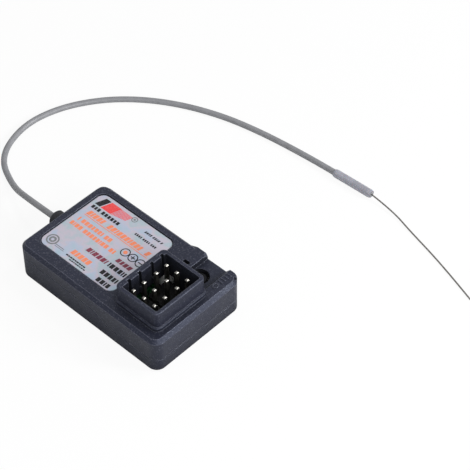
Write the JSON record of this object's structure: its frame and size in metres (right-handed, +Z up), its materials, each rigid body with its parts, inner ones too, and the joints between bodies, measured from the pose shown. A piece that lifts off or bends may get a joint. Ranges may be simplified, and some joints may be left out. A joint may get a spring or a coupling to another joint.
{
  "type": "rc receiver",
  "caption": "Small radio-control receiver: black two-shell case, collared plug socket over header pins, recessed bind button, silver label and a thin coax aerial lying on the table.",
  "frame": {"origin": "on the table under the middle of the case, without the cable gland and the aerial", "axes": "+Z up out of the lid, +X towards the socket end, so the aerial leaves at -X; +Y towards the side with the lowered button strip"},
  "size_m": [0.0928, 0.0594, 0.012],
  "materials": {
    "case_plastic": "fine-textured black moulding",
    "label_foil": "silver film label",
    "board_laminate": "green solder mask",
    "header_plastic": "black glass-filled nylon",
    "chip_plastic": "moulded epoxy",
    "pin_metal": "bright plated pins",
    "screw_steel": "zinc plated",
    "plate_steel": "pressed sheet",
    "can_aluminium": "drawn can",
    "lamp_resin": "clear red resin",
    "button_plastic": "smooth black moulding",
    "grommet_rubber": "satin black",
    "cable_jacket": "satin grey jacket",
    "sleeve_plastic": "shrunk-on grey sleeve",
    "wire_metal": "bare wire"
  },
  "bodies": {
    "receiver": {"antenna_coax": "cable_jacket", "antenna_sleeve": "sleeve_plastic", "antenna_tail": "cable_jacket", "antenna_tip": "wire_metal", "bottom_case": "case_plastic", "cable_grommet": "grommet_rubber", "capacitor_can": "can_aluminium", "capacitor_foot": "header_plastic", "circuit_board": "board_laminate", "contact_dome": "plate_steel", "controller_chip": "chip_plastic", "crystal": "can_aluminium", "header_far": "header_plastic", "header_near": "header_plastic", "label": "label_foil", "pin_1_1": "pin_metal", "pin_1_2": "pin_metal", "pin_1_3": "pin_metal", "pin_2_1": "pin_metal", "pin_2_2": "pin_metal", "pin_2_3": "pin_metal", "pin_3_1": "pin_metal", "pin_3_2": "pin_metal", "pin_3_3": "pin_metal", "pin_4_1": "pin_metal", "pin_4_2": "pin_metal", "pin_4_3": "pin_metal", "radio_chip": "chip_plastic", "screw_far": "screw_steel", "screw_near": "screw_steel", "status_lamp": "lamp_resin", "switch_base": "header_plastic", "switch_plate": "plate_steel", "top_cover": "case_plastic"},
    "button": {"button": "button_plastic"}
  },
  "joints": [
    {"name": "button_press", "type": "slide", "parent": "receiver", "child": "button", "axis": [0, 0, -1], "range_m": [0, 0.00025], "stiffness_N_per_m": 1500, "springref_m": -0.0002, "deforming": ["contact_dome"]}
  ]
}
